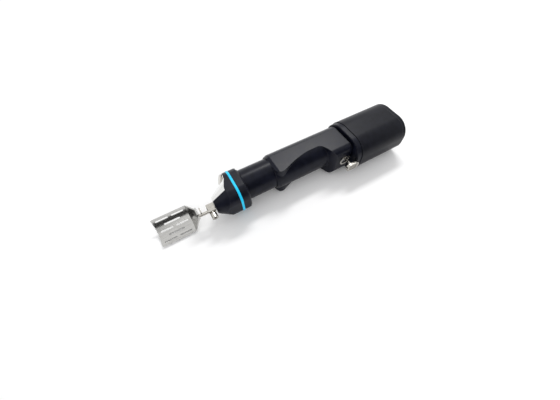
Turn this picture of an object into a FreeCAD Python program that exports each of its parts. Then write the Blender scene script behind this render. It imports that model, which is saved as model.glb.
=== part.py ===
import FreeCAD, Part
import math
import os

from FreeCAD import Vector

# Battery powered oscillating bone saw with a curved, slotted blade.
# Built along X: blade towards -X, battery towards +X, trigger towards -Y, +Z up.
# While it is built, x = 0 is the middle of the blue ring and y = z = 0 is the motor axis.
# On export the origin moves to the middle of the flat underside of the battery case.

# Places along the tool
blade_front_x = -85.1
blade_rear_x = -50.2
blade_hub_x = -42.7
shank_collar_x = -39.1
chuck_front_x = -32.5
nose_tip_x = -24.5
nose_shoulder_x = -4.5
ring_front_x = -1.3
ring_width = 2.4
head_rear_x = 9.5
neck_length = 31.8
handle_length = 86.3
latch_gap = 1.2
flange_thickness = 6.0
case_length = 57.4
end_cap_thickness = 5.2

# Nose and head
output_offset = 7.6
nose_tip_radius = 8.7
nose_waist_x = -8.5
nose_waist_radius = 18.4
head_near = -21.5
head_corner = 12.0
head_half_height = 17.3
head_far_radius = 18.0
head_far_centre = 2.0
head_bevel = 1.6
ring_proud = 0.45
ring_bore_radius = 14.6
chamber_front_x = -3.4

# Neck and handle
neck_radius = 16.0
neck_wall = 2.6
handle_half_height = 17.3
handle_far_radius = 18.5
handle_chamfer = 3.2
handle_chamfer_inset = 1.2
handle_wall = 2.5
motor_bore_radius = 15.0
grip_near = -25.0
grip_corner = 6.5
grip_length = 21.6
waist_y = -6.2
lobe_y = -16.3
lobe_length = 12.0
lobe_round = 6.6
rear_bay_length = 17.8

# Blade
blade_radius = 20.0
blade_half_angle = 44.5
blade_roll = 208.5
blade_thickness = 0.9
tooth_pitch = 1.6
tooth_depth = 1.2
slot_width = 1.7
slot_angle_step = 17.0
slot_long = 16.2
slot_short = 12.5
slot_end_margin = 3.4
hub_plate_radius = 6.0
hub_plate_thickness = 1.4

# Shank, chuck and output shaft
shank_radius = 1.7
shank_offset = 3.4
shank_collar_radius = 4.6
shank_collar_thickness = 1.0
shank_depth = 6.5
shank_flat_depth = 0.4
chuck_radius = 4.2
chuck_length = 7.7
chuck_boss_radius = 3.3
chuck_spigot_radius = 2.4
chuck_spigot_length = 8.0
shaft_radius = 4.0
clamp_screw_radius = 1.5
clamp_head_radius = 3.1
clamp_head_length = 4.6
clamp_head_gap = 1.6
clamp_socket_across = 2.5
clamp_socket_depth = 2.6

# Ball bearings of the output shaft and crank: 8 x 16 x 5
bearing_outer = 8.0
bearing_inner = 4.0
bearing_width = 5.0
bearing_shoulder_radius = 6.6
front_bearing_x = -21.2
rear_bearing_x = -8.6
seal_radius = 7.0
seal_width = 2.8

# Crank, fork and eccentric
crank_offset = 0.5
crank_pin_radius = 2.0
small_bearing_radius = 4.0
small_bearing_width = 3.0
crank_radius = 4.0
crank_disc_radius = 5.4
fork_front_x = -1.8
fork_thickness = 4.2
fork_hub_radius = 5.6
fork_arm_wall = 1.9
fork_reach = 5.2
fork_seat_radius = 2.5
carrier_front_x = 5.7
carrier_length = 21.5
coupling_radius = 7.0
coupling_length = 10.0

# Motor
motor_radius = 14.0
motor_from_neck = 8.7
motor_length = 48.0
motor_wall = 1.3
motor_cap = 2.4
motor_shaft_radius = 2.5
rotor_radius = 6.6
stator_bore_radius = 7.1
motor_bearing_radius = 5.0
motor_bearing_width = 4.0
motor_cushion_width = 4.0
motor_cushion_inset = 2.0

# Trigger
trigger_from_rear = 5.6
bezel_ahead = 1.6
trigger_travel = 4.0
trigger_stem_radius = 1.6
plate_length = 16.0
plate_height = 9.4
plate_thickness = 2.8
plate_front_y = -37.6
plate_groove_margin = 3.4
plate_notch_gap = 0.5
bezel_length = 13.4
bezel_height = 11.4
bezel_rim = 1.9
bezel_thickness = 1.0
guide_depth = 1.5
stem_collar_radius = 3.0
switch_face_y = -12.0
switch_depth = 9.0
switch_width = 13.0
switch_height = 10.0

# Spindle lock button on the far side of the nose
lock_face_x = -9.6
lock_face_y = 13.4
lock_face_z = 6.4
lock_direction = (-0.90, 0.25, 0.36)
lock_radius = 6.0
lock_length = 4.8
lock_bevel = 1.0
lock_washer = 0.4
lock_travel = 1.2

# Battery case
case_near = -35.4
case_corner = 18.0
case_half_height = 21.5
case_far_radius = 21.5
case_far_centre = -0.5
case_wall = 1.6
case_front_wall = 2.0
case_edge = 1.2
flange_inset = 0.7
flange_chamfer = 0.6
cell_radius = 9.1
cell_gap_front = 11.0
cell_gap_rear = 9.4
cell_pitch = 18.6
holder_window_radius = 3.5
pack_board_radius = 13.5

# Fits
slip = 0.05
running = 0.03
open_gap = 0.3

ring_rear_x = ring_front_x + ring_width
neck_rear_x = head_rear_x + neck_length
handle_front_x = neck_rear_x
handle_rear_x = handle_front_x + handle_length
grip_front_x = handle_rear_x - grip_length
bay_rear_x = handle_rear_x - rear_bay_length
motor_front_x = neck_rear_x + motor_from_neck
trigger_x = handle_rear_x - trigger_from_rear
bezel_x = trigger_x - bezel_ahead
flange_front_x = handle_rear_x + latch_gap
case_front_x = flange_front_x + flange_thickness
case_rear_x = case_front_x + case_length
cell_front_x = case_front_x + case_front_wall + cell_gap_front
cell_rear_x = case_rear_x - cell_gap_rear
tool_rear_x = case_rear_x + end_cap_thickness
case_middle_y = (case_far_centre + case_far_radius + case_near) / 2
rest_y = (case_far_centre + case_near + case_corner) / 2
rest_x = (case_front_x + case_rear_x) / 2
to_row_frame = Vector(-rest_x, -rest_y, case_half_height)

nodes = {}


def add(name, shape):
    nodes[name] = shape


def rod(radius, x0, x1, y=0.0, z=0.0):
    return Part.makeCylinder(radius, x1 - x0, Vector(x0, y, z), Vector(1, 0, 0))


def ring(outer, inner, x0, x1, y=0.0, z=0.0):
    return rod(outer, x0, x1, y, z).cut(rod(inner, x0 - 1, x1 + 1, y, z))


def block(x0, x1, y0, y1, z0, z1):
    return Part.makeBox(x1 - x0, y1 - y0, z1 - z0, Vector(x0, y0, z0))


def profile(near, corner, half, far_radius, far_centre, grow=0.0):
    """A rounded D section: round on the far side, flat above and below."""
    return (near - grow, corner + grow, half + grow, far_radius + grow, far_centre)


head_profile = profile(head_near, head_corner, head_half_height, head_far_radius, head_far_centre)
grip_profile = profile(grip_near, grip_corner, handle_half_height, handle_far_radius, 0.0)
case_profile = profile(case_near, case_corner, case_half_height, case_far_radius, case_far_centre)


def grown(section, grow):
    return profile(*section, grow=grow)


def section_wire(section, x):
    near, corner, half, far_radius, far_centre = section
    far_y = far_centre + math.sqrt(max(far_radius ** 2 - half ** 2, 0.0))
    corner_y = near + corner
    side = half - corner
    turn = corner * math.sqrt(0.5)

    def at(y, z):
        return Vector(x, y, z)

    edges = [
        Part.LineSegment(at(far_y, half), at(corner_y, half)),
        Part.Arc(at(corner_y, half), at(corner_y - turn, side + turn), at(near, side)),
        Part.LineSegment(at(near, side), at(near, -side)),
        Part.Arc(at(near, -side), at(corner_y - turn, -side - turn), at(corner_y, -half)),
        Part.LineSegment(at(corner_y, -half), at(far_y, -half)),
        Part.Arc(at(far_y, -half), at(far_centre + far_radius, 0), at(far_y, half)),
    ]
    return Part.Wire([edge.toShape() for edge in edges])


def prism(section, x0, x1):
    return Part.Face(section_wire(section, x0)).extrude(Vector(x1 - x0, 0, 0))


def chamfered_prism(section, x0, x1, front, rear, inset=None):
    """A prism with bevelled end edges, front and rear long; inset is how far the front steps in."""
    wires = []
    if front > 0:
        wires.append(section_wire(grown(section, -(inset or front)), x0))
    wires.append(section_wire(section, x0 + front))
    wires.append(section_wire(section, x1 - rear))
    if rear > 0:
        wires.append(section_wire(grown(section, -rear), x1))
    return Part.makeLoft(wires, True, True)


def revolved(points, y=0.0, z=0.0):
    """A solid of revolution about the line along X through y, z, from (x, radius) points."""
    corners = [Vector(x, y + radius, z) for x, radius in points]
    outline = Part.Face(Part.makePolygon(corners + corners[:1]))
    return outline.revolve(Vector(0, y, z), Vector(1, 0, 0), 360)


def oval(length, height, x, z, y0, y1):
    """A slot shaped block, long along X, from y0 to y1."""
    end = height / 2
    half = length / 2 - end
    top = Part.LineSegment(Vector(x - half, y0, z + end), Vector(x + half, y0, z + end))
    right = Part.Arc(Vector(x + half, y0, z + end), Vector(x + half + end, y0, z),
                     Vector(x + half, y0, z - end))
    bottom = Part.LineSegment(Vector(x + half, y0, z - end), Vector(x - half, y0, z - end))
    left = Part.Arc(Vector(x - half, y0, z - end), Vector(x - half - end, y0, z),
                    Vector(x - half, y0, z + end))
    wire = Part.Wire([edge.toShape() for edge in (top, right, bottom, left)])
    return Part.Face(wire).extrude(Vector(0, y1 - y0, 0))


def upright(radius, x, z, y0, y1):
    return Part.makeCylinder(radius, y1 - y0, Vector(x, y0, z), Vector(0, 1, 0))


def ball_bearing(x0, outer, shaft, width, y=0.0, clearance=running):
    """A sealed ball bearing drawn as one ring with a shallow groove in each face."""
    inner = shaft + clearance
    body = ring(outer, inner, x0, x0 + width, y)
    middle = (outer + inner) / 2
    depth = width * 0.08
    for face_x in (x0, x0 + width - depth):
        body = body.cut(ring(middle + outer * 0.1, middle - outer * 0.1, face_x, face_x + depth, y))
    return body


def joined(shapes):
    result = shapes[0]
    for shape in shapes[1:]:
        result = result.fuse(shape)
    return result.removeSplitter()


def helix_spring(radius, wire_radius, y0, y1, turns, x, z):
    """A coil spring along +Y, made as a swept round wire."""
    pitch = (y1 - y0 - 2 * wire_radius) / turns
    path = Part.makeHelix(pitch, pitch * turns, radius)
    start = Part.Wire(Part.makeCircle(wire_radius, Vector(radius, 0, 0), Vector(0, 1, 0)))
    coil = Part.Wire(path.Edges).makePipeShell([start], True, True)
    coil.rotate(Vector(0, 0, 0), Vector(1, 0, 0), -90)
    coil.translate(Vector(x, y0 + wire_radius, z))
    return coil


# Saw blade: a slice of a tube about the output axis, with a conical back wall and a hub plate. It is rolled
# so that its hollow side faces up and towards the trigger side.
def sector(angle, x0, x1, radius):
    """A pie slice about the output axis, symmetric about +Z, before the blade is rolled."""
    start = Vector(x0, -output_offset, 0)
    slice_solid = Part.makeCylinder(radius, x1 - x0, start, Vector(1, 0, 0), 2 * angle)
    centre = slice_solid.CenterOfMass
    now = math.degrees(math.atan2(centre.z, centre.y + output_offset))
    slice_solid.rotate(start, Vector(1, 0, 0), 90 - now)
    return slice_solid


def turn_about_output(shape, angle):
    shape.rotate(Vector(0, -output_offset, 0), Vector(1, 0, 0), angle)
    return shape


hub_rear_x = blade_hub_x + hub_plate_thickness


def make_blade():
    outer = blade_radius
    inner = blade_radius - blade_thickness
    shell = revolved([
        (blade_front_x, inner),
        (blade_front_x, outer),
        (blade_rear_x, outer),
        (hub_rear_x, hub_plate_radius),
        (blade_hub_x, hub_plate_radius - blade_thickness),
        (blade_rear_x - blade_thickness * 0.6, inner),
    ], -output_offset)
    shell = shell.common(sector(blade_half_angle, blade_front_x - 1, hub_rear_x + 1, outer + 1))
    hub = rod(hub_plate_radius, blade_hub_x, hub_rear_x, -output_offset)
    blade = joined([shell, hub])
    cutters = []
    tooth_count = int(2 * blade_radius * math.radians(blade_half_angle) / tooth_pitch)
    step = 2 * blade_half_angle / tooth_count
    for index in range(tooth_count + 1):
        notch = Part.Face(Part.makePolygon([
            Vector(blade_front_x - 0.01, -output_offset - tooth_pitch / 2, 0),
            Vector(blade_front_x - 0.01, -output_offset + tooth_pitch / 2, 0),
            Vector(blade_front_x + tooth_depth, -output_offset, 0),
            Vector(blade_front_x - 0.01, -output_offset - tooth_pitch / 2, 0),
        ])).extrude(Vector(0, 0, outer + 2))
        cutters.append(turn_about_output(notch, -blade_half_angle + index * step))
    middle_x = (blade_front_x + blade_rear_x) / 2
    short_x = blade_front_x + slot_end_margin + slot_short / 2
    for row in range(-2, 3):
        if row % 2:
            places = [(middle_x, slot_long)]
        else:
            places = [(short_x, slot_short), (blade_rear_x + blade_front_x - short_x, slot_short)]
        for centre_x, length in places:
            straight = length / 2 - slot_width / 2
            slot = block(centre_x - straight, centre_x + straight, -output_offset - slot_width / 2,
                         -output_offset + slot_width / 2, inner - 3, outer + 2)
            for end_x in (centre_x - straight, centre_x + straight):
                slot = slot.fuse(Part.makeCylinder(slot_width / 2, blade_thickness + 5,
                                                   Vector(end_x, -output_offset, inner - 3)))
            cutters.append(turn_about_output(slot, row * slot_angle_step))
    blade = turn_about_output(blade.cut(cutters), blade_roll)
    return blade.cut(rod(shank_radius, blade_hub_x - 1, hub_rear_x + 1, -output_offset - shank_offset))


add("saw_blade", make_blade())

# Shank: a round pin fixed in the blade's hub plate, with a stop disc and a flat for the clamp screw.
chuck_rear_x = chuck_front_x + chuck_length
shank_rear_x = chuck_front_x + shank_depth
shank_y = -output_offset - shank_offset
clamp_x = chuck_front_x + shank_depth * 0.58
shank = joined([
    rod(shank_radius, blade_hub_x, shank_rear_x, shank_y),
    rod(shank_collar_radius, shank_collar_x, shank_collar_x + shank_collar_thickness, -output_offset),
])
shank = shank.cut(block(clamp_x - 2.2, clamp_x + 2.2, shank_y - shank_radius - 1,
                        shank_y - shank_radius + shank_flat_depth, -3, 3))
add("blade_shank", shank)

# Chuck: a round collar with a boss on its near side, where the clamp screw holds the shank.
chuck = revolved([
    (chuck_front_x, 0),
    (chuck_front_x, chuck_radius - 0.6),
    (chuck_front_x + 0.6, chuck_radius),
    (chuck_rear_x, chuck_radius),
    (chuck_rear_x, chuck_spigot_radius),
    (chuck_rear_x + chuck_spigot_length, chuck_spigot_radius),
    (chuck_rear_x + chuck_spigot_length, 0),
], -output_offset)
boss = rod(chuck_boss_radius, chuck_front_x + 0.5, chuck_rear_x - 0.4, shank_y)
chuck = joined([chuck, boss])
clamp_hole_radius = clamp_screw_radius + slip
chuck = chuck.cut([
    rod(shank_radius, chuck_front_x - 1, shank_rear_x, shank_y),
    upright(clamp_hole_radius, clamp_x, 0, shank_y - chuck_boss_radius - 2, shank_y),
])
add("chuck_collar", chuck)

screw_tip_y = shank_y - shank_radius + shank_flat_depth - slip
screw_head_y = shank_y - chuck_boss_radius - clamp_head_gap
screw_end_y = screw_head_y - clamp_head_length
screw = joined([
    upright(clamp_screw_radius, clamp_x, 0, screw_head_y - 0.5, screw_tip_y),
    upright(clamp_head_radius, clamp_x, 0, screw_end_y, screw_head_y),
])
corner_radius = clamp_socket_across / math.sqrt(3)
hexagon = [Vector(clamp_x + corner_radius * math.cos(math.radians(60 * k)), screw_end_y - 0.1,
                  corner_radius * math.sin(math.radians(60 * k))) for k in range(7)]
hex_socket = Part.Face(Part.makePolygon(hexagon)).extrude(Vector(0, clamp_socket_depth + 0.1, 0))
add("clamp_screw", screw.cut(hex_socket))

# Output shaft: a socket for the chuck's spigot in front, two bearing seats, and a thinner seat for the fork
# behind, which leaves room for the crank's small bearing.
fork_rear_x = fork_front_x + fork_thickness
shaft = rod(shaft_radius, chuck_rear_x, fork_front_x, -output_offset)
shaft = shaft.fuse(rod(fork_seat_radius, fork_front_x, fork_rear_x, -output_offset)).removeSplitter()
shaft = shaft.cut(rod(chuck_spigot_radius, chuck_rear_x - 1, chuck_rear_x + chuck_spigot_length,
                      -output_offset))
add("output_shaft", shaft)

add("shaft_seal", ring(seal_radius, shaft_radius + running, front_bearing_x - seal_width, front_bearing_x,
                       -output_offset))
add("output_front_bearing", ball_bearing(front_bearing_x, bearing_outer, shaft_radius, bearing_width,
                                         -output_offset))
add("output_rear_bearing", ball_bearing(rear_bearing_x, bearing_outer, shaft_radius, bearing_width,
                                        -output_offset))
add("bearing_spacer", ring(shaft_radius + 1.4, shaft_radius, front_bearing_x + bearing_width, rear_bearing_x,
                           -output_offset))

# Rocking fork on the output shaft: its two prongs reach across the crank's small bearing.
prong_gap = small_bearing_radius + 2 * crank_offset + open_gap
prong_end_y = fork_reach
fork = rod(fork_hub_radius, fork_front_x, fork_rear_x, -output_offset)
fork = fork.fuse(block(fork_front_x, fork_rear_x, -output_offset, prong_end_y,
                       -prong_gap - fork_arm_wall, prong_gap + fork_arm_wall))
fork = fork.cut(block(fork_front_x - 1, fork_rear_x + 1, -small_bearing_radius - 2 * crank_offset,
                      prong_end_y + 1, -prong_gap, prong_gap))
fork = fork.cut(rod(fork_seat_radius, fork_front_x - 1, fork_rear_x + 1, -output_offset))
add("rocker_fork", fork.removeSplitter())

# Crank: runs in two bearings on the motor axis, and carries a pin that is off centre.
carrier_rear_x = carrier_front_x + carrier_length
crank_rear_x = carrier_rear_x + 3.0
pin_rear_x = carrier_front_x - 1.0
crank = joined([
    rod(crank_pin_radius, fork_front_x + 0.4, pin_rear_x, crank_offset),
    rod(crank_disc_radius, pin_rear_x - 1.2, carrier_front_x - open_gap, 0),
    rod(crank_radius, pin_rear_x, crank_rear_x, 0),
])
add("crank_shaft", crank)
small_bearing_x = fork_front_x + (fork_thickness - small_bearing_width) / 2
add("crank_pin_bearing", ball_bearing(small_bearing_x, small_bearing_radius, crank_pin_radius,
                                      small_bearing_width, crank_offset, 0.0))
add("crank_front_bearing", ball_bearing(carrier_front_x, bearing_outer, bearing_inner, bearing_width))
add("crank_rear_bearing", ball_bearing(carrier_rear_x - bearing_width, bearing_outer, bearing_inner,
                                       bearing_width))

# Bearing carrier: a flanged sleeve clamped between the head and the neck.
neck_bore = neck_radius - neck_wall
carrier = joined([
    rod(ring_bore_radius, carrier_front_x, head_rear_x),
    rod(neck_bore, head_rear_x, carrier_rear_x),
])
carrier = carrier.cut(rod(bearing_outer, carrier_front_x - 1, carrier_front_x + bearing_width))
carrier = carrier.cut(rod(bearing_outer, carrier_rear_x - bearing_width, carrier_rear_x + 1))
carrier = carrier.cut(rod(bearing_shoulder_radius, carrier_front_x, carrier_rear_x))
add("bearing_carrier", carrier)

# Nose housing: a cone about the output axis that flares into the head's rounded section.
nose_outline = revolved([
    (nose_tip_x, 0),
    (nose_tip_x, nose_tip_radius - 0.5),
    (nose_tip_x + 0.5, nose_tip_radius),
    (nose_waist_x, nose_waist_radius),
    (nose_shoulder_x - 1.6, nose_waist_radius + 2.6),
    (nose_shoulder_x, nose_waist_radius + 8.4),
    (nose_shoulder_x, nose_waist_radius + 20),
    (ring_front_x, nose_waist_radius + 20),
    (ring_front_x, 0),
], -output_offset)
nose = nose_outline.common(prism(head_profile, nose_tip_x - 1, ring_front_x))
nose = nose.cut([
    rod(seal_radius, front_bearing_x - seal_width, front_bearing_x + 1, -output_offset),
    rod(bearing_outer, front_bearing_x, front_bearing_x + bearing_width, -output_offset),
    rod(bearing_shoulder_radius, front_bearing_x, rear_bearing_x + 1, -output_offset),
    rod(shaft_radius + 0.4, nose_tip_x - 1, front_bearing_x, -output_offset),
    rod(bearing_outer, rear_bearing_x, chamber_front_x + 1, -output_offset),
    rod(ring_bore_radius, chamber_front_x, ring_front_x + 1),
])

# Spindle lock: a round push button in the far flank of the nose, with a washer under it.
lock_axis = Vector(*lock_direction)
lock_axis.normalize()
lock_face = Vector(lock_face_x, lock_face_y, lock_face_z)


def lock_rod(radius, start, end, inner=0.0):
    """A cylinder or ring on the button's axis, between two depths below its outer face."""
    shape = Part.makeCylinder(radius, end - start, lock_face - lock_axis * end, lock_axis)
    if inner > 0:
        shape = shape.cut(Part.makeCylinder(inner, end - start, lock_face - lock_axis * end, lock_axis))
    return shape


lock_seat = lock_length + lock_travel + slip + lock_washer
nose = nose.cut(lock_rod(lock_radius + slip, -12, lock_seat))
rim = Part.makeCone(lock_radius, lock_radius - lock_bevel, lock_bevel, lock_face - lock_axis * lock_bevel,
                    lock_axis)
add("lock_button", lock_rod(lock_radius, lock_bevel, lock_length).fuse(rim).removeSplitter())
add("lock_washer", lock_rod(lock_radius - 0.8, lock_seat - lock_washer, lock_seat, lock_radius - 2.4))

# Head screws hold the nose, ring and head together.
screw_places = [(12.0, 12.0), (12.0, -12.0), (-14.2, 10.6), (-14.2, -10.6)]
head_screw_radius = 1.25
head_screw_cap = 2.2
cap_depth = 2.4
screw_end_x = nose_shoulder_x + 1.2
head_screws = []
for y, z in screw_places:
    body = rod(head_screw_radius, screw_end_x, head_rear_x - cap_depth, y, z)
    cap = rod(head_screw_cap, head_rear_x - cap_depth, head_rear_x - 0.2, y, z)
    head_screws.append(body.fuse(cap).removeSplitter())
    nose = nose.cut(rod(head_screw_radius, screw_end_x, ring_front_x + 1, y, z))
add("nose_housing", nose)
add("head_screws", Part.makeCompound(head_screws))

accent = chamfered_prism(grown(head_profile, ring_proud), ring_front_x, ring_rear_x, ring_proud, ring_proud)
accent = accent.cut(rod(ring_bore_radius, ring_front_x - 1, ring_rear_x + 1))
head = chamfered_prism(head_profile, ring_rear_x, head_rear_x, 0, head_bevel)
head = head.cut(rod(ring_bore_radius, ring_rear_x - 1, head_rear_x + 1))
for y, z in screw_places:
    hole = rod(head_screw_radius, ring_front_x - 1, head_rear_x + 1, y, z)
    accent = accent.cut(hole)
    head = head.cut(hole).cut(rod(head_screw_cap, head_rear_x - cap_depth, head_rear_x + 1, y, z))
add("accent_ring", accent)
add("head_housing", head)

# Neck: a plain tube with a spigot that enters the handle.
spigot_radius = 14.6
spigot_length = 3.0
neck = ring(neck_radius, neck_bore, head_rear_x, neck_rear_x)
neck = neck.fuse(ring(spigot_radius, neck_bore, neck_rear_x, neck_rear_x + spigot_length)).removeSplitter()
add("neck_sleeve", neck)
neck_seal_radius = neck_radius - 0.7
add("neck_seal", ring(neck_seal_radius, spigot_radius, neck_rear_x, neck_rear_x + 1.2))

# Handle shell: a round barrel with flats above and below. A lobe at its front and the thicker grip at its
# rear stand out on the near side, with a waist for the fingers between them.
def waist_outline():
    """Plan of the near side, from the lobe through the waist to the grip, as points (x, y)."""
    front = handle_front_x
    rise = lobe_y - waist_y
    drop = grip_near - waist_y
    return [
        (front, waist_y + 0.23 * rise),
        (front + 0.14 * lobe_round, waist_y + 0.63 * rise),
        (front + 0.48 * lobe_round, waist_y + 0.91 * rise),
        (front + lobe_round, lobe_y),
        (front + lobe_length, waist_y + 0.84 * rise),
        (front + 0.36 * (grip_front_x - front), waist_y + 0.42 * rise),
        (front + 0.58 * (grip_front_x - front), waist_y + 0.09 * rise),
        (front + 0.70 * (grip_front_x - front), waist_y),
        (grip_front_x - 0.63 * grip_length, waist_y),
        (grip_front_x - 0.42 * grip_length, waist_y + 0.06 * drop),
        (grip_front_x - 0.29 * grip_length, waist_y + 0.20 * drop),
        (grip_front_x - 0.19 * grip_length, waist_y + 0.43 * drop),
        (grip_front_x - 0.11 * grip_length, waist_y + 0.70 * drop),
        (grip_front_x, waist_y + 0.92 * drop),
        (grip_front_x + 0.17 * grip_length, grip_near - 0.1),
    ]


def make_handle():
    rear_edge = 1.0
    far_side = handle_far_radius + 5
    low = -handle_half_height - 1
    barrel = revolved([
        (handle_front_x, 0),
        (handle_front_x, handle_far_radius - handle_chamfer_inset),
        (handle_front_x + handle_chamfer, handle_far_radius),
        (handle_rear_x - rear_edge, handle_far_radius),
        (handle_rear_x, handle_far_radius - rear_edge),
        (handle_rear_x, 0),
    ])
    slab_reach = 2 * handle_far_radius
    slab_section = profile(-slab_reach, grip_corner, handle_half_height, slab_reach, 0.0)
    slab = chamfered_prism(slab_section, handle_front_x, handle_rear_x, handle_chamfer, rear_edge,
                           handle_chamfer_inset)
    full = chamfered_prism(grip_profile, handle_front_x, handle_rear_x, handle_chamfer, rear_edge,
                           handle_chamfer_inset)
    near_side = [Vector(x, y, low) for x, y in waist_outline()]
    curve = Part.BSplineCurve()
    curve.interpolate(near_side)
    corners = [near_side[-1]]
    corners.append(Vector(handle_rear_x + 1, grip_near - 0.1, low))
    corners.append(Vector(handle_rear_x + 1, far_side, low))
    corners.append(Vector(handle_front_x, far_side, low))
    corners.append(near_side[0])
    edges = [curve.toShape()]
    for first, second in zip(corners[:-1], corners[1:]):
        edges.append(Part.LineSegment(first, second).toShape())
    plan = Part.Face(Part.Wire(edges)).extrude(Vector(0, 0, 2 * handle_half_height + 2))
    body = barrel.common(slab).fuse(full.common(plan))
    cavity = [
        rod(spigot_radius, handle_front_x - 1, handle_front_x + spigot_length),
        rod(neck_seal_radius, handle_front_x - 1, handle_front_x + 1.2),
        rod(motor_bore_radius, handle_front_x + spigot_length, bay_rear_x),
        prism(grown(grip_profile, -handle_wall), bay_rear_x, handle_rear_x + 1),
        oval(bezel_length - 2 * bezel_rim, bezel_height - 2 * bezel_rim, bezel_x, 0,
             grip_near - 1, grip_near + handle_wall + 1),
    ]
    return body.cut(cavity).removeSplitter()


add("handle_shell", make_handle())

# Drive coupling between the crank and the motor shaft.
coupling_front_x = crank_rear_x - 2.0
coupling = ring(coupling_radius, crank_radius, coupling_front_x, coupling_front_x + coupling_length / 2)
coupling = coupling.fuse(ring(coupling_radius, motor_shaft_radius, coupling_front_x + coupling_length / 2,
                              coupling_front_x + coupling_length)).removeSplitter()
add("drive_coupling", coupling)

# Brushless motor.
motor_rear_x = motor_front_x + motor_length
motor_shaft_front_x = coupling_front_x + coupling_length / 2 + 0.2
add("motor_shaft", rod(motor_shaft_radius, motor_shaft_front_x, motor_rear_x - 0.5))
add("motor_can", ring(motor_radius, motor_radius - motor_wall, motor_front_x, motor_rear_x))
can_bore = motor_radius - motor_wall
bearing_boss = motor_bearing_radius + 2.0
for label, face_x, inward in (("front", motor_front_x, 1), ("rear", motor_rear_x, -1)):
    plate_start = min(face_x, face_x + inward * motor_cap)
    boss_start = min(face_x, face_x + inward * (motor_cap + motor_bearing_width))
    cap = joined([
        rod(can_bore, plate_start, plate_start + motor_cap),
        rod(bearing_boss, boss_start, boss_start + motor_cap + motor_bearing_width),
    ])
    bearing_x = min(face_x + inward * motor_cap, face_x + inward * (motor_cap + motor_bearing_width))
    cap = cap.cut(rod(motor_bearing_radius, bearing_x, bearing_x + motor_bearing_width))
    cap = cap.cut(rod(motor_shaft_radius + 0.4, plate_start - 1, plate_start + motor_cap + 1))
    add("motor_" + label + "_cap", cap)
    add("motor_" + label + "_bearing", ball_bearing(bearing_x, motor_bearing_radius, motor_shaft_radius,
                                                    motor_bearing_width))
rotor_front_x = motor_front_x + motor_cap + motor_bearing_width + 2.6
rotor_rear_x = motor_rear_x - motor_cap - motor_bearing_width - 2.6
add("motor_rotor", ring(rotor_radius, motor_shaft_radius, rotor_front_x, rotor_rear_x))


def make_stator():
    """A laminated ring with six inward teeth, and a winding bundle around each tooth."""
    outer = can_bore
    back = 2.2
    iron = ring(outer, outer - back, rotor_front_x, rotor_rear_x)
    coils = []
    tooth_width = 3.0
    for k in range(6):
        angle = 60 * k
        tooth = block(rotor_front_x, rotor_rear_x, stator_bore_radius, outer - back + 0.5,
                      -tooth_width / 2, tooth_width / 2)
        shoe = block(rotor_front_x, rotor_rear_x, stator_bore_radius, stator_bore_radius + 0.9, -2.6, 2.6)
        bundle = block(rotor_front_x - 1.6, rotor_rear_x + 1.6, stator_bore_radius + 1.1,
                       outer - back - 0.5, -tooth_width / 2 - 1.1, tooth_width / 2 + 1.1)
        bundle = bundle.cut(block(rotor_front_x, rotor_rear_x, stator_bore_radius, outer,
                                  -tooth_width / 2, tooth_width / 2))
        for shape in (tooth, shoe, bundle):
            shape.rotate(Vector(0, 0, 0), Vector(1, 0, 0), angle)
        iron = iron.fuse(tooth).fuse(shoe)
        coils.append(bundle)
    iron = iron.cut(rod(stator_bore_radius, rotor_front_x - 1, rotor_rear_x + 1))
    return iron.removeSplitter(), Part.makeCompound(coils)


stator, windings = make_stator()
add("motor_stator", stator)
add("motor_windings", windings)

# Motor mount: a ring that seats in the handle bore and is screwed to the motor's front cap.
mount_front_x = handle_front_x + spigot_length
mount = ring(motor_bore_radius, bearing_boss + 0.4, mount_front_x, motor_front_x)
motor_screw_radius = 1.25
motor_screw_circle = 10.0
motor_screws = []
front_cap = nodes["motor_front_cap"]
for k in range(3):
    angle = math.radians(90 + 120 * k)
    y = motor_screw_circle * math.cos(angle)
    z = motor_screw_circle * math.sin(angle)
    cap_x = mount_front_x + 0.4
    shank_end_x = motor_front_x + motor_cap
    body = rod(motor_screw_radius, cap_x, shank_end_x, y, z)
    head_part = rod(2.1, cap_x, cap_x + 1.6, y, z)
    motor_screws.append(body.fuse(head_part).removeSplitter())
    mount = mount.cut(rod(2.1, mount_front_x - 1, cap_x + 1.6, y, z))
    mount = mount.cut(rod(motor_screw_radius, mount_front_x, motor_front_x + 1, y, z))
    front_cap = front_cap.cut(rod(motor_screw_radius, motor_front_x - 1, shank_end_x, y, z))
nodes["motor_front_cap"] = front_cap
add("motor_mount", mount)
add("motor_screws", Part.makeCompound(motor_screws))

# Rubber ring that steadies the back of the motor in the handle bore.
cushion_rear_x = motor_rear_x - motor_cushion_inset
cushion_front_x = cushion_rear_x - motor_cushion_width
add("motor_cushion", ring(motor_bore_radius, motor_radius, cushion_front_x, cushion_rear_x))

# Trigger: bright plate, stem and oval bezel, with guide, spring and switch inside.
plate_rear_y = plate_front_y + plate_thickness
plate = oval(plate_length, plate_height, trigger_x, 0, plate_front_y, plate_rear_y)
groove_half = plate_length / 2 - plate_groove_margin
for z in (-2.4, 0.0, 2.4):
    plate = plate.cut(block(trigger_x - groove_half, trigger_x + groove_half, plate_front_y - 1,
                            plate_front_y + 0.7, z - 0.45, z + 0.45))
plate = plate.cut(upright(trigger_stem_radius, trigger_x, 0, plate_rear_y - 1.4, plate_rear_y + 1))
add("trigger_plate", plate)

bezel_front_y = grip_near - bezel_thickness
bezel = oval(bezel_length, bezel_height, bezel_x, 0, bezel_front_y, grip_near)
bezel = bezel.cut(oval(bezel_length - 2 * bezel_rim, bezel_height - 2 * bezel_rim, bezel_x, 0,
                       bezel_front_y - 1, grip_near + 1))
add("trigger_bezel", bezel)

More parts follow.
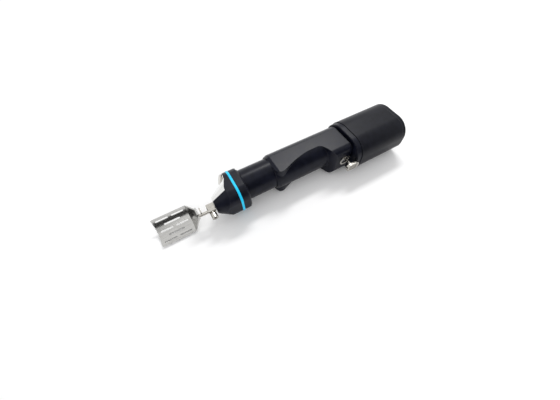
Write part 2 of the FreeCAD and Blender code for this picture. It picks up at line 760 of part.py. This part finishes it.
guide_inner_y = grip_near + handle_wall + guide_depth
guide_length = bezel_length - 2 * bezel_rim
guide_height = bezel_height - 2 * bezel_rim
guide = oval(guide_length, guide_height, bezel_x, 0, grip_near + 0.6, grip_near + handle_wall)
guide = guide.fuse(oval(guide_length + 3, guide_height + 3, bezel_x, 0, grip_near + handle_wall,
                        guide_inner_y))
guide = guide.cut(upright(trigger_stem_radius + slip, trigger_x, 0, grip_near - 2, guide_inner_y + 2))
add("trigger_guide", guide.removeSplitter())

stem_end_y = switch_face_y + 0.5
collar_y = guide_inner_y
stem = upright(trigger_stem_radius, trigger_x, 0, plate_rear_y - 1.4, stem_end_y)
stem = stem.fuse(upright(stem_collar_radius, trigger_x, 0, collar_y, collar_y + 0.9)).removeSplitter()
add("trigger_stem", stem)
spring_wire = 0.3
add("trigger_spring", helix_spring(stem_collar_radius - 0.45, spring_wire, collar_y + 0.9, switch_face_y,
                                   5, trigger_x, 0))

switch_x0 = trigger_x - switch_width + 3.0
switch = block(switch_x0, switch_x0 + switch_width, switch_face_y, switch_face_y + switch_depth,
               -switch_height / 2, switch_height / 2)
switch = switch.cut(upright(trigger_stem_radius + 0.2, trigger_x, 0, switch_face_y - 1,
                            switch_face_y + trigger_travel + 1.2))
add("trigger_switch", switch)

# Frame that carries the switch and the control board between the walls of the grip.
cavity_half = handle_half_height - handle_wall
frame_x0 = switch_x0 - 2.0
frame = block(frame_x0, switch_x0, switch_face_y, switch_face_y + switch_depth, -cavity_half, cavity_half)
add("switch_frame", frame)
board_z = -9.0
board_thickness = 1.6
board_far_y = math.sqrt((handle_far_radius - handle_wall) ** 2 - (board_z - board_thickness) ** 2) - 0.2
board_x0 = bay_rear_x + 0.8
board_x1 = handle_rear_x - 1.5
board = block(board_x0, board_x1, switch_face_y, board_far_y, board_z - board_thickness, board_z)
board = board.cut(block(frame_x0 - 0.1, switch_x0 + 0.1, switch_face_y - 1,
                        switch_face_y + switch_depth + 0.1, board_z - 3, board_z + 2))
add("control_board", board)
board_parts = [
    block(board_x0 + 0.6, board_x0 + 3.8, 0.0, 8.0, board_z, board_z + 4.0),
    block(board_x1 - 7.0, board_x1 - 1.5, 0.0, 8.0, board_z, board_z + 1.6),
    Part.makeCylinder(2.8, 8.0, Vector(board_x1 - 11.0, 4.0, board_z)),
]
add("board_parts", Part.makeCompound(board_parts))

# Latch ring: the recessed piece between the grip and the battery flange.
latch_section = grown(grip_profile, -1.7)
latch = prism(latch_section, handle_rear_x, flange_front_x)
latch_lip = prism(grown(grip_profile, -handle_wall - slip), handle_rear_x - 0.6, handle_rear_x)
latch = latch.fuse(latch_lip).removeSplitter()
block_y0 = -15.0
block_y1 = -1.0
block_half = 5.0
block_rear_x = case_front_x + case_front_wall + 2.0
opening = block(handle_rear_x - 5, block_rear_x, block_y0, block_y1, -block_half, block_half)
latch = latch.cut(opening)
add("latch_ring", latch)

flange_section = grown(case_profile, -flange_inset)
flange = chamfered_prism(flange_section, flange_front_x, case_front_x - open_gap, flange_chamfer, 0)
flange = flange.cut(opening)
# An oval notch in the flange's near edge lets the trigger plate pass when it is pressed.
notch_length = plate_length + 2 * plate_notch_gap
notch_height = plate_height + 2 * plate_notch_gap
flange = flange.cut(oval(notch_length, notch_height, trigger_x, 0, case_near - 1,
                         plate_rear_y + trigger_travel + plate_notch_gap))
add("battery_flange", flange)

# Contact block with four spring contacts, fixed in the flange.
contact_block = block(handle_rear_x - 2, block_rear_x, block_y0, block_y1, -block_half, block_half)
contact_thickness = 0.8
contact_length = 5.0
contact_half_height = 3.0
contact_places = [-12.5, -9.5, -6.5, -3.5]
contacts = []
for y in contact_places:
    contacts.append(block(handle_rear_x - 2.4, block_rear_x + contact_length, y - contact_thickness / 2,
                          y + contact_thickness / 2, -contact_half_height, contact_half_height))
contact_block = contact_block.cut(contacts)
add("contact_block", contact_block)
add("contact_blades", Part.makeCompound(contacts))

# Battery case: a closed front wall with an opening for the contact block, open behind for the end cap.
case = prism(case_profile, case_front_x, case_rear_x)
case = case.cut(prism(grown(case_profile, -case_wall), case_front_x + case_front_wall, case_rear_x + 1))
case = case.cut(block(case_front_x - 1, case_front_x + case_front_wall + 1, block_y0 - open_gap,
                      block_y1 + open_gap, -block_half - open_gap, block_half + open_gap))
add("battery_case", case)

cap_lip = 3.0
end_cap = chamfered_prism(case_profile, case_rear_x, tool_rear_x, 0, case_edge)
end_cap = end_cap.fuse(prism(grown(case_profile, -case_wall - slip), case_rear_x - cap_lip, case_rear_x))
seal_section = grown(case_profile, -case_wall - slip)
seal_groove = prism(seal_section, case_rear_x - 2.2, case_rear_x - 1.0)
seal_groove = seal_groove.cut(prism(grown(seal_section, -1.0), case_rear_x - 3, case_rear_x))
end_cap = end_cap.cut(seal_groove)
add("end_cap_seal", seal_groove)

cap_screw_radius = 1.5
cap_screw_head = 2.9
cap_screw_front_x = case_rear_x - cap_lip - 2.6
cap_screw_places = []
for y in (case_middle_y - cell_pitch, case_middle_y + cell_pitch):
    for z in (-7.0, 7.0):
        cap_screw_places.append((y, z))
cap_screws = []
post_radius = 3.0
for y, z in cap_screw_places:
    shank_part = rod(cap_screw_radius, cap_screw_front_x, tool_rear_x - 0.4, y, z)
    cone_start = Vector(tool_rear_x - 2.2, y, z)
    cone = Part.makeCone(cap_screw_radius, cap_screw_head, 1.8, cone_start, Vector(1, 0, 0))
    tip = shank_part.fuse(cone).removeSplitter()
    drive = block(tool_rear_x - 1.4, tool_rear_x + 1, y - 0.4, y + 0.4, z - 1.7, z + 1.7)
    drive = drive.fuse(block(tool_rear_x - 1.4, tool_rear_x + 1, y - 1.7, y + 1.7, z - 0.4, z + 0.4))
    sink = rod(cap_screw_head, tool_rear_x - 0.4, tool_rear_x + 1, y, z)
    end_cap = end_cap.cut([shank_part, cone, sink])
    cap_screws.append(tip.cut(drive))
add("end_cap", end_cap.removeSplitter())
add("end_cap_screws", Part.makeCompound(cap_screws))

# Cell pack: four short lithium cells between two holders, with a protection board behind.
cells = []
for dy in (-0.5, 0.5):
    for dz in (-0.5, 0.5):
        y = case_middle_y + dy * cell_pitch
        z = dz * cell_pitch
        cells.append(rod(cell_radius, cell_front_x, cell_rear_x, y, z))
add("battery_cells", Part.makeCompound(cells))
holder_section = grown(case_profile, -case_wall - 0.05)
holder_depth = 4.0
holder_plate = 1.6
front_holder = prism(holder_section, cell_front_x - holder_plate, cell_front_x + holder_depth)
rear_holder = prism(holder_section, cell_rear_x - holder_depth, cell_rear_x + holder_plate)
for cell in cells:
    front_holder = front_holder.cut(cell)
    rear_holder = rear_holder.cut(cell)
    middle = cell.CenterOfMass
    for window_x in (cell_front_x - holder_plate - 1, cell_rear_x):
        window = rod(holder_window_radius, window_x, window_x + holder_plate + 1, middle.y, middle.z)
        front_holder = front_holder.cut(window)
        rear_holder = rear_holder.cut(window)
nut_post_x0 = cell_rear_x + holder_plate
for y, z in cap_screw_places:
    post = rod(post_radius, nut_post_x0 - 0.5, case_rear_x - cap_lip, y, z)
    rear_holder = rear_holder.fuse(post)
for y, z in cap_screw_places:
    rear_holder = rear_holder.cut(rod(cap_screw_radius, cap_screw_front_x, case_rear_x, y, z))
add("front_cell_holder", front_holder.removeSplitter())
add("rear_cell_holder", rear_holder.removeSplitter())
pack_board_x = cell_rear_x + holder_plate
pack_board = rod(pack_board_radius, pack_board_x, pack_board_x + 1.2, case_middle_y)
for y, z in cap_screw_places:
    pack_board = pack_board.cut(rod(post_radius + 0.3, pack_board_x - 1, pack_board_x + 2, y, z))
add("protection_board", pack_board)

# Socket block inside the battery case, which takes the contact blades.
socket_front_x = block_rear_x + open_gap
socket_rear_x = cell_front_x - holder_plate
socket = block(socket_front_x, socket_rear_x, block_y0, block_y1, -block_half, block_half)
for y in contact_places:
    socket = socket.cut(block(socket_front_x - 1, socket_front_x + contact_length + open_gap,
                              y - contact_thickness / 2 - open_gap, y + contact_thickness / 2 + open_gap,
                              -contact_half_height - open_gap, contact_half_height + open_gap))
add("contact_socket", socket)

os.makedirs("parts", exist_ok=True)
for name, shape in nodes.items():
    placed = shape.copy()
    placed.translate(to_row_frame)
    placed.exportStep("parts/" + name + ".step")
print(len(nodes), "nodes, length", round(tool_rear_x - blade_front_x, 1))
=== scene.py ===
import math

import bpy
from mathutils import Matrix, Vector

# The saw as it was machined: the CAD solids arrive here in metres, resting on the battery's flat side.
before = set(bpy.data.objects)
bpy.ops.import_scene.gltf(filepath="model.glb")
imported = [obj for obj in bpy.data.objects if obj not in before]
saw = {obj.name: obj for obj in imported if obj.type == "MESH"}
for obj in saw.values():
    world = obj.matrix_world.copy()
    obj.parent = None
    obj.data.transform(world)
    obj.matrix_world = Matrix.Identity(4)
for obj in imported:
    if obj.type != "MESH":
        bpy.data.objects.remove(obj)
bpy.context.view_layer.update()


# Table: a plain, very pale, matt sheet of card that the saw lies on.
# It is far larger than the saw, so its edge stays out of the camera's sight.
TABLE_HALF = 3.0
TABLE_COLOUR = (0.95, 0.95, 0.945)
TABLE_ROUGHNESS = 0.9

card_mesh = bpy.data.meshes.new("card")
card_mesh.from_pydata([(x * TABLE_HALF, y * TABLE_HALF, 0) for x, y in ((-1, -1), (1, -1), (1, 1), (-1, 1))],
                      [], [(0, 1, 2, 3)])
card = bpy.data.objects.new("card", card_mesh)
bpy.context.scene.collection.objects.link(card)
card_finish = bpy.data.materials.new("card_finish")
card_finish.use_nodes = True
card_nodes, card_links = card_finish.node_tree.nodes, card_finish.node_tree.links
card_shader = card_nodes["Principled BSDF"]
card_shader.inputs["Base Color"].default_value = (*TABLE_COLOUR, 1)
card_shader.inputs["Roughness"].default_value = TABLE_ROUGHNESS
card_shader.inputs["Specular IOR Level"].default_value = 0.0
card_mesh.materials.append(card_finish)


# Studio: a long oval softbox hangs behind the saw and above it, and a small weak one stands in front. The
# walls are white, and a black cloth that hangs in a curve behind the camera gives the bright steel its dark
# bands. It is seen in reflections only.
TOP_SIZE = (0.60, 0.17)
TOP_PLACE = (0.26, 0.46, 0.78)
TOP_POWER = 5.2
FRONT_SIZE = (0.30, 0.30)
FRONT_PLACE = (-0.27, -0.52, 0.54)
FRONT_POWER = 0.3
ROOM_FILL = (0.82, 0.82, 0.83)
CLOTH_RADIUS = 0.80
CLOTH_HEIGHT = 1.15
CLOTH_START = math.radians(190)
CLOTH_END = math.radians(320)
CLOTH_STRIPS = 16
CLOTH_COLOUR = (0.05, 0.05, 0.05)
STUDIO_AIM = (-0.16, 0.0, 0.02)


def turn_to(thing, place, aim):
    thing.location = place
    thing.rotation_euler = (Vector(aim) - Vector(place)).to_track_quat("-Z", "Y").to_euler()
    bpy.context.scene.collection.objects.link(thing)


def softbox(name, shape, size, place, power, aim):
    lamp = bpy.data.lights.new(name, "AREA")
    lamp.shape = shape
    lamp.size, lamp.size_y = size
    lamp.energy = power
    turn_to(bpy.data.objects.new(name, lamp), place, aim)


softbox("top_softbox", "ELLIPSE", TOP_SIZE, TOP_PLACE, TOP_POWER, (TOP_PLACE[0], TOP_PLACE[1], 0.0))
softbox("front_softbox", "RECTANGLE", FRONT_SIZE, FRONT_PLACE, FRONT_POWER, STUDIO_AIM)

room = bpy.data.worlds.new("studio_room")
bpy.context.scene.world = room
room.use_nodes = True
room_nodes, room_links = room.node_tree.nodes, room.node_tree.links
room_light = room_nodes["Background"]
room_light.inputs["Color"].default_value = (*ROOM_FILL, 1)
room_light.inputs["Strength"].default_value = 1.0
room_white = room_nodes.new("ShaderNodeBackground")
room_white.inputs["Color"].default_value = (1, 1, 1, 1)
room_white.inputs["Strength"].default_value = 1.0
room_path = room_nodes.new("ShaderNodeLightPath")
seen = room_path.outputs["Is Camera Ray"]
for ray in ("Is Glossy Ray", "Is Transmission Ray"):
    either = room_nodes.new("ShaderNodeMath")
    either.operation = "MAXIMUM"
    room_links.new(seen, either.inputs[0])
    room_links.new(room_path.outputs[ray], either.inputs[1])
    seen = either.outputs[0]
room_mix = room_nodes.new("ShaderNodeMixShader")
room_links.new(seen, room_mix.inputs["Fac"])
room_links.new(room_light.outputs[0], room_mix.inputs[1])
room_links.new(room_white.outputs[0], room_mix.inputs[2])
room_links.new(room_mix.outputs[0], room_nodes["World Output"].inputs["Surface"])

cloth_points = []
for strip in range(CLOTH_STRIPS + 1):
    angle = CLOTH_START + (CLOTH_END - CLOTH_START) * strip / CLOTH_STRIPS
    x = STUDIO_AIM[0] + CLOTH_RADIUS * math.cos(angle)
    y = STUDIO_AIM[1] + CLOTH_RADIUS * math.sin(angle)
    cloth_points += [(x, y, 0.0), (x, y, CLOTH_HEIGHT)]
cloth_mesh = bpy.data.meshes.new("black_cloth")
cloth_mesh.from_pydata(cloth_points, [], [(2 * strip, 2 * strip + 2, 2 * strip + 3, 2 * strip + 1)
                                          for strip in range(CLOTH_STRIPS)])
black_cloth = bpy.data.objects.new("black_cloth", cloth_mesh)
bpy.context.scene.collection.objects.link(black_cloth)
black_cloth.visible_camera = False
black_cloth.visible_shadow = False
black_cloth.visible_diffuse = False
cloth_finish = bpy.data.materials.new("cloth_finish")
cloth_finish.use_nodes = True
cloth_shader = cloth_finish.node_tree.nodes["Principled BSDF"]
cloth_shader.inputs["Base Color"].default_value = (*CLOTH_COLOUR, 1)
cloth_shader.inputs["Roughness"].default_value = 1.0
cloth_shader.inputs["Specular IOR Level"].default_value = 0.0
cloth_mesh.materials.append(cloth_finish)


# Camera: it stands close above the side with the trigger and looks down on the saw.
# Its wide lens makes the near blade large and the far battery small.
CAMERA_PLACE = Vector((-0.191985, -0.131735, 0.227387))
CAMERA_AIM = Vector((-0.111339, 0.006891, -0.040307))
CAMERA_LENS = 15.680
CAMERA_FILM = 36.0

camera_lens = bpy.data.cameras.new("camera")
camera_lens.sensor_width = CAMERA_FILM
camera_lens.lens = CAMERA_LENS
camera_lens.clip_start = 0.01
camera = bpy.data.objects.new("camera", camera_lens)
camera.location = CAMERA_PLACE
camera.rotation_euler = (CAMERA_AIM - CAMERA_PLACE).to_track_quat("-Z", "Y").to_euler()
bpy.context.scene.collection.objects.link(camera)
bpy.context.scene.camera = camera
bpy.context.scene.view_settings.view_transform = "Standard"


# Housing: nose, head, neck and handle are turned and milled from aluminium, bead blasted and hard anodised
# black, with a fine blast grain. The edges are painted greyer, partly as wear and partly as a painted edge
# highlight.
ANODISE_DARK = (0.0032, 0.0038, 0.0085)
ANODISE_LIGHT = (0.0062, 0.0072, 0.0150)
# Edge colour: partly wear, partly a painted edge highlight.
ANODISE_WEAR_AND_SHEEN = (0.030, 0.031, 0.036)
ANODISE_ROUGHNESS = 0.32
ANODISE_SHINE = 0.16
ANODISE_CLOUDS = 140.0
BLAST_GRAIN = 5200.0
BLAST_DEPTH = 0.00002
EDGE_ROUND = 0.0005
EDGE_WEAR_AND_SHEEN = 0.0007
EDGE_SAMPLES = 6
WEAR_AND_SHEEN_STARTS = 0.995
WEAR_AND_SHEEN_FULL = 0.90


def finish_material(name, metallic, roughness, specular):
    """A material whose shader's own sockets hold what is the same all over."""
    material = bpy.data.materials.new(name)
    material.use_nodes = True
    shader = material.node_tree.nodes["Principled BSDF"]
    shader.inputs["Metallic"].default_value = metallic
    shader.inputs["Roughness"].default_value = roughness
    shader.inputs["Specular IOR Level"].default_value = specular
    return material, material.node_tree.nodes, material.node_tree.links, shader


def object_noise(nodes, links, scale, detail=3.0, stretch=(1, 1, 1)):
    where = nodes.new("ShaderNodeTexCoord")
    place = nodes.new("ShaderNodeMapping")
    place.inputs["Scale"].default_value = stretch
    noise = nodes.new("ShaderNodeTexNoise")
    noise.inputs["Scale"].default_value = scale
    noise.inputs["Detail"].default_value = detail
    links.new(where.outputs["Object"], place.inputs["Vector"])
    links.new(place.outputs["Vector"], noise.inputs["Vector"])
    return noise.outputs["Fac"]


def two_tone(nodes, links, fac, low, high, start=0.35, end=0.65):
    ramp = nodes.new("ShaderNodeValToRGB")
    ramp.color_ramp.elements[0].position = start
    ramp.color_ramp.elements[1].position = end
    ramp.color_ramp.elements[0].color = (*low, 1)
    ramp.color_ramp.elements[1].color = (*high, 1)
    links.new(fac, ramp.inputs["Fac"])
    return ramp.outputs["Color"]


def varied_roughness(nodes, links, shader, fac, low, high):
    spread = nodes.new("ShaderNodeMapRange")
    spread.inputs["To Min"].default_value = low
    spread.inputs["To Max"].default_value = high
    links.new(fac, spread.inputs["Value"])
    links.new(spread.outputs["Result"], shader.inputs["Roughness"])


def grain_bump(nodes, links, shader, fac, depth, strength, round_edges=0.0):
    bump = nodes.new("ShaderNodeBump")
    bump.inputs["Distance"].default_value = depth
    bump.inputs["Strength"].default_value = strength
    links.new(fac, bump.inputs["Height"])
    if round_edges:
        rounding = nodes.new("ShaderNodeBevel")
        rounding.samples = EDGE_SAMPLES
        rounding.inputs["Radius"].default_value = round_edges
        links.new(rounding.outputs["Normal"], bump.inputs["Normal"])
    links.new(bump.outputs["Normal"], shader.inputs["Normal"])


def wear_and_sheen_edges(nodes, links, colour, wear_and_sheen_colour, reach):
    """Mixes the edge colour in where the surface turns a corner: partly wear, partly a painted edge highlight.
    """
    rounding = nodes.new("ShaderNodeBevel")
    rounding.samples = EDGE_SAMPLES
    rounding.inputs["Radius"].default_value = reach
    face = nodes.new("ShaderNodeNewGeometry")
    turn = nodes.new("ShaderNodeVectorMath")
    turn.operation = "DOT_PRODUCT"
    links.new(rounding.outputs["Normal"], turn.inputs[0])
    links.new(face.outputs["Normal"], turn.inputs[1])
    share = nodes.new("ShaderNodeMapRange")
    share.inputs["From Min"].default_value = WEAR_AND_SHEEN_STARTS
    share.inputs["From Max"].default_value = WEAR_AND_SHEEN_FULL
    links.new(turn.outputs["Value"], share.inputs["Value"])
    mix = nodes.new("ShaderNodeMix")
    mix.data_type = "RGBA"
    links.new(share.outputs["Result"], mix.inputs["Factor"])
    links.new(colour, mix.inputs["A"])
    mix.inputs["B"].default_value = (*wear_and_sheen_colour, 1)
    return mix.outputs["Result"]


def black_anodised(name, dark, light, roughness, specular):
    material, nodes, links, shader = finish_material(name, 0.0, roughness, specular)
    cloud = object_noise(nodes, links, ANODISE_CLOUDS, 4.0)
    tone = two_tone(nodes, links, cloud, dark, light)
    # Edges get a greyer colour, partly wear and partly a painted edge highlight.
    tone = wear_and_sheen_edges(nodes, links, tone, ANODISE_WEAR_AND_SHEEN, EDGE_WEAR_AND_SHEEN)
    links.new(tone, shader.inputs["Base Color"])
    varied_roughness(nodes, links, shader, cloud, roughness - 0.04, roughness + 0.05)
    grain = object_noise(nodes, links, BLAST_GRAIN, 2.0)
    grain_bump(nodes, links, shader, grain, BLAST_DEPTH, 0.35, EDGE_ROUND)
    return material


def finish_node(node, material):
    slots = saw[node].data.materials
    slots.clear()
    slots.append(material)


housing_black = black_anodised("housing_black", ANODISE_DARK, ANODISE_LIGHT, ANODISE_ROUGHNESS, ANODISE_SHINE)
for part in ("head_housing", "neck_sleeve", "handle_shell", "battery_flange"):
    finish_node(part, housing_black)


# Painted highlight: the far side of the nose, below the flat top and in front of the shoulder at the blue
# ring, round the lock button, is given bright polished metal in place of the black coat, standing in for a
# highlight.
HIGHLIGHT_PATCH_Y = 0.0010
HIGHLIGHT_PATCH_TOP = 0.03875
HIGHLIGHT_PATCH_REAR = -0.1690
HIGHLIGHT_PATCH_METAL = (0.80, 0.80, 0.79)
HIGHLIGHT_PATCH_ROUGHNESS = 0.22

nose_black_painted_highlight = black_anodised("nose_black_painted_highlight", ANODISE_DARK, ANODISE_LIGHT, ANODISE_ROUGHNESS, ANODISE_SHINE)
nose_nodes, nose_links = nose_black_painted_highlight.node_tree.nodes, nose_black_painted_highlight.node_tree.links
highlight_patch_metal = nose_nodes.new("ShaderNodeBsdfPrincipled")
highlight_patch_metal.inputs["Base Color"].default_value = (*HIGHLIGHT_PATCH_METAL, 1)
highlight_patch_metal.inputs["Metallic"].default_value = 1.0
highlight_patch_metal.inputs["Roughness"].default_value = HIGHLIGHT_PATCH_ROUGHNESS
nose_place = nose_nodes.new("ShaderNodeTexCoord")
nose_split = nose_nodes.new("ShaderNodeSeparateXYZ")
nose_links.new(nose_place.outputs["Object"], nose_split.inputs[0])
highlight_patch_mask = None
for axis, side, edge in (("Y", "GREATER_THAN", HIGHLIGHT_PATCH_Y), ("Z", "LESS_THAN", HIGHLIGHT_PATCH_TOP),
                         ("X", "LESS_THAN", HIGHLIGHT_PATCH_REAR)):
    within = nose_nodes.new("ShaderNodeMath")
    within.operation = side
    within.inputs[1].default_value = edge
    nose_links.new(nose_split.outputs[axis], within.inputs[0])
    if highlight_patch_mask is None:
        highlight_patch_mask = within.outputs[0]
        continue
    both = nose_nodes.new("ShaderNodeMath")
    both.operation = "MULTIPLY"
    nose_links.new(highlight_patch_mask, both.inputs[0])
    nose_links.new(within.outputs[0], both.inputs[1])
    highlight_patch_mask = both.outputs[0]
# The mask paints the bright-metal highlight patch onto the black nose.
nose_highlight_mix = nose_nodes.new("ShaderNodeMixShader")
nose_links.new(highlight_patch_mask, nose_highlight_mix.inputs["Fac"])
nose_links.new(nose_nodes["Principled BSDF"].outputs[0], nose_highlight_mix.inputs[1])
nose_links.new(highlight_patch_metal.outputs[0], nose_highlight_mix.inputs[2])
nose_links.new(nose_highlight_mix.outputs[0], nose_nodes["Material Output"].inputs["Surface"])
finish_node("nose_housing", nose_black_painted_highlight)


# Accent ring: a thin aluminium ring, bead blasted, and dyed bright blue when it is anodised.
# It is clamped between the nose and the head.
RING_BLUE = (0.005, 0.62, 0.95)
RING_BLUE_DEEP = (0.003, 0.56, 0.90)

ring_blue, ring_nodes, ring_links, ring_shader = finish_material("ring_blue", 0.0, 0.35, 0.3)
ring_cloud = object_noise(ring_nodes, ring_links, 200.0)
ring_dye = two_tone(ring_nodes, ring_links, ring_cloud, RING_BLUE_DEEP, RING_BLUE)
ring_links.new(ring_dye, ring_shader.inputs["Base Color"])
ring_grain = object_noise(ring_nodes, ring_links, BLAST_GRAIN)
grain_bump(ring_nodes, ring_links, ring_shader, ring_grain, BLAST_DEPTH, 0.3, 0.0002)
finish_node("accent_ring", ring_blue)


# Battery: the case and its end cap are moulded in a hard black plastic with a faint texture, the latch ring
# between grip and battery in the same plastic, left matt.
CASE_DARK = (0.0032, 0.0037, 0.0072)
CASE_LIGHT = (0.0060, 0.0067, 0.0120)

# Like the housing, the case's edges get a greyer colour, partly wear and partly a painted edge highlight.
case_black = black_anodised("case_black", CASE_DARK, CASE_LIGHT, 0.38, 0.14)
for part in ("battery_case", "end_cap"):
    finish_node(part, case_black)
latch_black = black_anodised("latch_black", CASE_DARK, CASE_LIGHT, 0.55, 0.10)
finish_node("latch_ring", latch_black)


# Bright steel: the trigger plate, its stem and bezel, the chuck, the shank, the clamp screw and the lock
# button are turned from stainless bar and polished.
POLISH_LIGHT = (0.58, 0.56, 0.52)
POLISH_DARK = (0.49, 0.47, 0.43)

polished_steel, polish_nodes, polish_links, polish_shader = finish_material("polished_steel", 1.0, 0.16, 0.5)
polish_cloud = object_noise(polish_nodes, polish_links, 700.0, 4.0)
polish_links.new(two_tone(polish_nodes, polish_links, polish_cloud, POLISH_DARK, POLISH_LIGHT),
                 polish_shader.inputs["Base Color"])
varied_roughness(polish_nodes, polish_links, polish_shader, polish_cloud, 0.10, 0.24)
grain_bump(polish_nodes, polish_links, polish_shader,
           object_noise(polish_nodes, polish_links, 3000.0, 2.0, (0.1, 1, 1)), 0.00001, 0.3, 0.0002)
for part in ("trigger_plate", "trigger_bezel", "trigger_stem", "chuck_collar", "blade_shank", "clamp_screw",
             "lock_button"):
    finish_node(part, polished_steel)


# Blade: sheet steel rolled to a curve, with slots cut through it, then brushed along its length and polished.
BLADE_LIGHT = (0.58, 0.575, 0.56)
BLADE_DARK = (0.47, 0.465, 0.45)

blade_steel, blade_nodes, blade_links, blade_shader = finish_material("blade_steel", 1.0, 0.2, 0.5)
blade_brushing = object_noise(blade_nodes, blade_links, 2600.0, 3.0, (0.04, 1, 1))
blade_links.new(two_tone(blade_nodes, blade_links, blade_brushing, BLADE_DARK, BLADE_LIGHT),
                blade_shader.inputs["Base Color"])
varied_roughness(blade_nodes, blade_links, blade_shader, blade_brushing, 0.14, 0.30)
grain_bump(blade_nodes, blade_links, blade_shader, blade_brushing, 0.00001, 0.4)
finish_node("saw_blade", blade_steel)


# Running gear and motor: shafts and bearings of ground steel, carriers and motor can of machined aluminium,
# windings of enamelled copper and seals of rubber. All of them sit inside the housing.
def plain_finish(name, metallic, dark, light, roughness, scale, stretch=(1, 1, 1), specular=0.5):
    material, nodes, links, shader = finish_material(name, metallic, roughness, specular)
    cloud = object_noise(nodes, links, scale, 3.0, stretch)
    links.new(two_tone(nodes, links, cloud, dark, light), shader.inputs["Base Color"])
    varied_roughness(nodes, links, shader, cloud, max(roughness - 0.08, 0.05), roughness + 0.08)
    grain_bump(nodes, links, shader, cloud, 0.00002, 0.25)
    return material


ground_steel = plain_finish("ground_steel", 1.0, (0.50, 0.50, 0.50), (0.64, 0.64, 0.63), 0.28, 2500.0,
                            (0.1, 1, 1))
for part in ("output_shaft", "rocker_fork", "crank_shaft", "motor_shaft", "output_front_bearing",
             "output_rear_bearing", "crank_pin_bearing", "crank_front_bearing", "crank_rear_bearing",
             "motor_front_bearing", "motor_rear_bearing", "head_screws", "motor_screws", "end_cap_screws",
             "trigger_spring", "lock_washer"):
    finish_node(part, ground_steel)
machined_aluminium = plain_finish("machined_aluminium", 1.0, (0.58, 0.59, 0.60), (0.70, 0.71, 0.72), 0.32,
                                  1800.0, (4, 1, 1))
for part in ("bearing_spacer", "bearing_carrier", "drive_coupling", "motor_can", "motor_front_cap",
             "motor_rear_cap", "motor_mount"):
    finish_node(part, machined_aluminium)
stacked_sheet = plain_finish("stacked_sheet", 1.0, (0.30, 0.30, 0.31), (0.42, 0.42, 0.43), 0.45, 3000.0,
                             (6, 1, 1))
finish_node("motor_stator", stacked_sheet)
rotor_sleeve = plain_finish("rotor_sleeve", 1.0, (0.22, 0.22, 0.23), (0.30, 0.30, 0.31), 0.35, 900.0)
finish_node("motor_rotor", rotor_sleeve)
enamelled_copper = plain_finish("enamelled_copper", 1.0, (0.55, 0.22, 0.08), (0.75, 0.36, 0.16), 0.35, 2400.0,
                                (0.2, 1, 1))
finish_node("motor_windings", enamelled_copper)
seal_rubber = plain_finish("seal_rubber", 0.0, (0.012, 0.012, 0.012), (0.022, 0.022, 0.022), 0.75, 600.0)
for part in ("shaft_seal", "neck_seal", "motor_cushion", "end_cap_seal"):
    finish_node(part, seal_rubber)


# Switch, boards and cells: the switch, its frame and the cell holders are moulded in grey plastic, the boards
# are green with black components, the contacts gold plated, and the cells wrapped in blue film.
moulded_grey = plain_finish("moulded_grey", 0.0, (0.20, 0.20, 0.21), (0.26, 0.26, 0.27), 0.5, 900.0)
for part in ("trigger_guide", "trigger_switch", "switch_frame", "contact_block", "contact_socket",
             "front_cell_holder", "rear_cell_holder"):
    finish_node(part, moulded_grey)
board_green = plain_finish("board_green", 0.0, (0.010, 0.10, 0.040), (0.020, 0.16, 0.065), 0.35, 1400.0)
for part in ("control_board", "protection_board"):
    finish_node(part, board_green)
board_part_black = plain_finish("board_part_black", 0.0, (0.012, 0.012, 0.013), (0.03, 0.03, 0.03), 0.4, 900.0)
finish_node("board_parts", board_part_black)
gold_plating = plain_finish("gold_plating", 1.0, (0.80, 0.58, 0.22), (0.92, 0.70, 0.32), 0.22, 900.0)
finish_node("contact_blades", gold_plating)
cell_wrap = plain_finish("cell_wrap", 0.0, (0.02, 0.10, 0.32), (0.04, 0.16, 0.42), 0.3, 500.0)
finish_node("battery_cells", cell_wrap)
